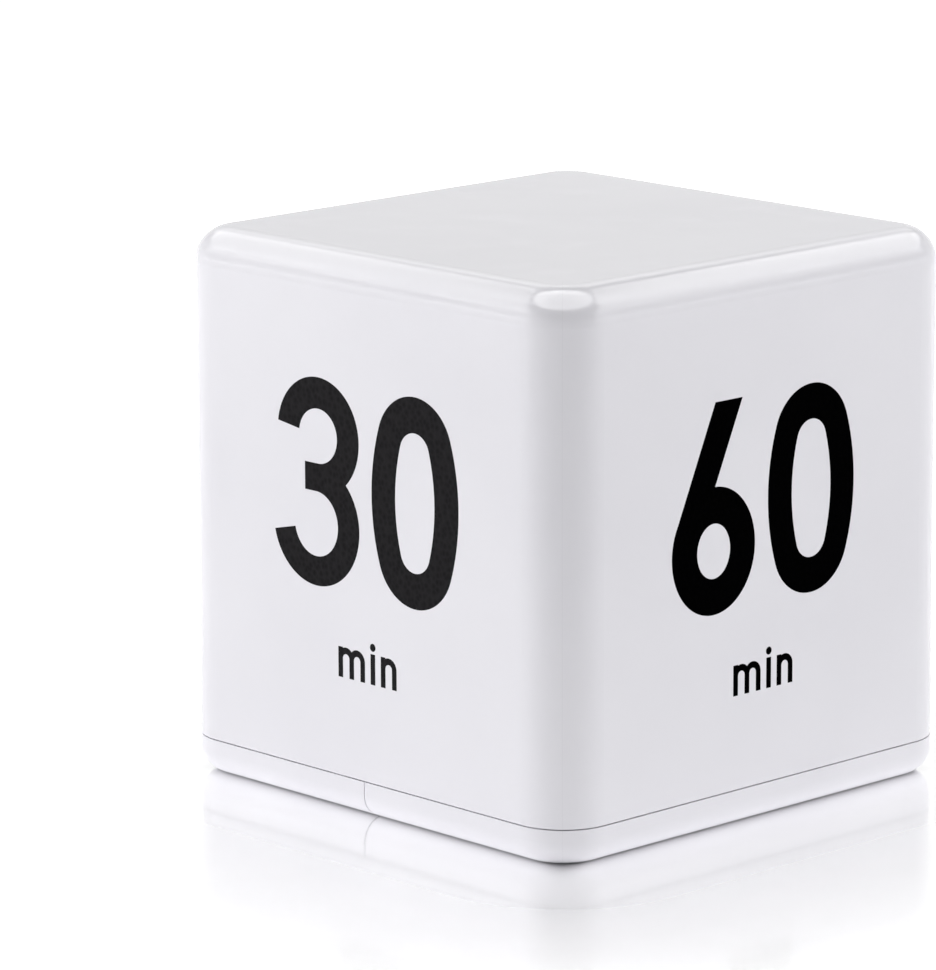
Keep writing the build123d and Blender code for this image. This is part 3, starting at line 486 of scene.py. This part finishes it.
def cell_sleeve(name, way):
    """The finish of a cell that runs from its + end along Y (way 1) or against it (way -1)."""
    low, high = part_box(name)
    centre = (low + high) / 2
    length = high.y - low.y
    rim_radius = (high.x - low.x) / 2 - rim_width
    plus_y = low.y if way == 1 else high.y

    def paint(value):
        across = value.axis("X", centre.x)
        height = value.axis("Z", centre.z)
        along = value.axis("Y", plus_y) * way
        rim = distance(across, height).over(rim_radius, rim_radius + edge_fade)
        side = along.over(button_length, button_length + edge_fade) * rim
        band = 1 - along.over(band_length, band_length + print_fade)
        line = (along - band_length - line_offset).near(line_reach)
        below = 1 - height.over(sign_level, sign_level + sign_level_fade)
        from_plus = along - plus_inset
        from_minus = along - (length - minus_inset)
        arms = bar(across, sign_size) * bar(from_plus, sign_stroke)
        post = bar(across, sign_stroke) * bar(from_plus, sign_size)
        dash = bar(across, sign_size) * bar(from_minus, sign_stroke)
        signs = below * highest(arms, post, dash)
        scuff = value.noise(380, 5, (1, 0.35, 1)).over(0.62, 0.8)
        pale = value.noise(60).mix((0.50, 0.51, 0.53), (0.58, 0.59, 0.61))
        dark = value.noise(240, 3).mix((0.055, 0.060, 0.068), (0.085, 0.090, 0.100))
        printed = (line * 0.9).mix(band.mix(pale, dark), (0.030, 0.032, 0.036))
        printed = signs.mix(printed, band.mix((0.030, 0.032, 0.036), (0.78, 0.77, 0.74)))
        printed = (0.35 * scuff).mix(printed, (0.36, 0.36, 0.36))
        can = value.noise(900, 3, (1, 0.2, 1)).mix((0.76, 0.75, 0.72), (0.60, 0.59, 0.56))
        return {
            "Base Color": side.mix(can, printed),
            "Metallic": 1 - side,
            "Roughness": 0.2 + 0.12 * side + 0.25 * scuff,
            "Normal": value.bump(0.6 * side + 0.2 * line + 0.1 * scuff, cell_depth),
        }

    return paint


dress(material("cell_inner", cell_sleeve("cell_inner", -1)), "cell_inner")
dress(material("cell_outer", cell_sleeve("cell_outer", 1)), "cell_outer")

# Screws: five small cross-head screws of zinc-plated steel with a slight blue cast. Two under the door hold
# the base cover to the shell, and three hold the board on its posts.
zinc = brushed_metal((0.70, 0.72, 0.75), (0.46, 0.48, 0.51), (1, 1, 1), 0.22)
dress(material("screw_zinc", zinc), "case_screws", "board_screws")

# Floor: a white table, polished round the cube so that it shows a faint mirror image that fades within
# a few centimetres, and glowing softly like the lit table of a product studio. Round the cube the glow is
# brighter, a painted pool of light that lights the cube's walls, and at the cube's foot it falls to
# nothing, a painted contact shadow.
floor_reach = 4.0
floor_gap = 0.00002
foot_rounding = 0.0028
foot_half = cad_high.x - foot_rounding
# Painted contact shadow: the floor's glow rises from nothing at the cube's foot over this reach.
painted_shadow_reach = 0.0026
floor_glow = 0.22
# Painted pool of light: the floor glows brighter round the cube, so that it lights the cube's walls.
painted_pool_glow = 0.19
painted_pool_reach = 0.12
floor_white = 0.38
far_white = 0.5
far_start = 0.3
far_reach = 1.5
mirror_reach = 0.05
mirror_most = 0.82
mirror_blur = 0.12


def ray(value, kind):
    """1 for rays of a kind and 0 for all others."""
    return value.node("ShaderNodeLightPath", {}, {}, "Is " + kind + " Ray")


def seen_rays(value):
    """1 for rays that see a thing itself, mirrored or through glass, and 0 for rays that gather light."""
    return highest(ray(value, "Camera"), ray(value, "Glossy"), ray(value, "Transmission"))


def ramp(away, reach):
    """0 at zero and 1 from the reach on, with a straight rise between them."""
    return (away * (1 / reach)).math("MINIMUM", 1.0)


def paint_floor(tree):
    """A matt table that glows, with a painted pool of light round the cube and a painted shadow at its
    foot, and over it a mirror that fades away from the cube.
    """
    value = Value(tree)
    beyond_x = highest(abs(value.axis("X")) - foot_half, 0.0)
    beyond_y = highest(abs(value.axis("Y")) - foot_half, 0.0)
    away = distance(beyond_x, beyond_y)
    share = ramp(away, mirror_reach)
    polish = mirror_most * ray(value, "Camera") * (1 - share * share)
    # Painted pool of light: brighter glow near the cube, and less of the camera's extra white there.
    painted_pool = 1 - ramp(away, painted_pool_reach)
    white = (floor_white + far_white * away.over(far_start, far_reach)) * seen_rays(value) * (1 - painted_pool)
    # Painted contact shadow: all of the floor's glow falls to nothing at the cube's foot.
    glow_with_painted_shade = away.over(0.0, painted_shadow_reach) * (floor_glow + painted_pool_glow * painted_pool + white)
    matt = value.node("ShaderNodeBsdfDiffuse", {}, {"Color": (0.9, 0.9, 0.9, 1)})
    glow = value.node("ShaderNodeEmission", {}, {"Color": glow_with_painted_shade, "Strength": 1.0})
    table = value.node("ShaderNodeAddShader", {}, {0: matt, 1: glow})
    mirror = value.node("ShaderNodeBsdfGlossy", {}, {"Color": (1, 1, 1, 1), "Roughness": mirror_blur})
    surface = value.node("ShaderNodeMixShader", {}, {0: polish, 1: table, 2: mirror})
    tree.links.new(surface.socket, tree.nodes["Material Output"].inputs["Surface"])


floor_level = cad_low.z - floor_gap
floor_signs = ((-1, -1), (1, -1), (1, 1), (-1, 1))
floor_corners = [(x * floor_reach, y * floor_reach, floor_level) for x, y in floor_signs]
floor_mesh = bpy.data.meshes.new("floor")
floor_mesh.from_pydata(floor_corners, [], [(0, 1, 2, 3)])
floor = bpy.data.objects.new("floor", floor_mesh)
bpy.context.scene.collection.objects.link(floor)
floor_material = bpy.data.materials.new("floor_white")
floor_material.use_nodes = True
paint_floor(floor_material.node_tree)
floor_mesh.materials.append(floor_material)

# Studio: soft boxes round the cube in a white room. The two front boxes and the right one light the faces
# but show in no reflection, the top box shows only in reflections, and the low boxes and the strips draw
# the bands of light along the upper edges.
box_distance = 0.7
cube_centre = (cad_low + cad_high) / 2
room_light = 0.08


def soft_box(name, bearing, height, width, length, power, mirrored=True, lighting=True, shape="RECTANGLE"):
    """A lamp that faces the cube: bearing and height in degrees, size in metres, power in watts."""
    lamp = bpy.data.lights.new(name, "AREA")
    lamp.shape = shape
    lamp.size = width
    lamp.size_y = length
    lamp.energy = power
    box = bpy.data.objects.new(name, lamp)
    bpy.context.scene.collection.objects.link(box)
    turned = math.radians(bearing)
    raised = math.radians(height)
    way = Vector((math.cos(turned), math.sin(turned), 0)) * math.cos(raised)
    way += Vector((0, 0, math.sin(raised)))
    box.location = cube_centre + way * box_distance
    box.rotation_mode = "QUATERNION"
    box.rotation_quaternion = way.to_track_quat("Z", "Y")
    box.visible_glossy = mirrored
    box.visible_diffuse = lighting


soft_box("front_left_box", 235, 13, 0.62, 0.28, 1.86, mirrored=False)
soft_box("left_strip", 225, 6, 0.56, 0.06, 0.18)
soft_box("low_left_box", 222, 27, 0.40, 0.15, 0.40)
soft_box("back_left_box", 188, 40, 0.60, 0.22, 1.12)
soft_box("back_box", 138, 32, 0.54, 0.18, 0.30)
soft_box("back_right_box", 79, 41, 0.60, 0.22, 1.42)
soft_box("low_right_box", 46, 27, 0.36, 0.15, 0.31)
soft_box("right_strip", 45, 6, 0.50, 0.06, 0.15)
soft_box("right_box", 32, 14, 0.50, 0.28, 1.1, mirrored=False)
soft_box("front_box", 316, 50, 0.50, 0.30, 0.8, mirrored=False)
soft_box("top_box", 316, 84, 1.2, 1.1, 16.5, lighting=False, shape="ELLIPSE")

world = bpy.data.worlds.new("white_room")
bpy.context.scene.world = world
world.use_nodes = True
strength = room_light + (1 - room_light) * seen_rays(Value(world.node_tree))
background = world.node_tree.nodes["Background"]
background.inputs["Strength"].default_value = 1.0
world.node_tree.links.new(strength.socket, background.inputs["Color"])

# Camera: a long lens that looks slightly down at the cube's front corner, as in the photo. Its focal length
# is in pixels of a picture 970 pixels high.
image_height = 970
focal_pixels = 5655.05
turn = math.radians(46.422)
rise = math.radians(12.37)
roll = math.radians(-0.218)
camera_distance = 0.64624
shift_across = 0.01112
shift_up = -0.00159
back = Vector((math.sin(turn) * math.cos(rise), -math.cos(turn) * math.cos(rise), math.sin(rise)))
level = Vector((math.cos(turn), math.sin(turn), 0))
upright = back.cross(level)
right = level * math.cos(roll) + upright * math.sin(roll)
up = upright * math.cos(roll) - level * math.sin(roll)
lens = bpy.data.cameras.new("camera")
lens.sensor_width = 36.0
lens.lens = focal_pixels * lens.sensor_width / image_height
lens.clip_start = 0.05
camera = bpy.data.objects.new("camera", lens)
bpy.context.scene.collection.objects.link(camera)
camera.location = cube_centre + back * camera_distance - right * shift_across - up * shift_up
camera.rotation_mode = "QUATERNION"
camera.rotation_quaternion = Matrix((right, up, back)).transposed().to_quaternion()
bpy.context.scene.camera = camera
bpy.context.scene.view_settings.view_transform = "Standard"
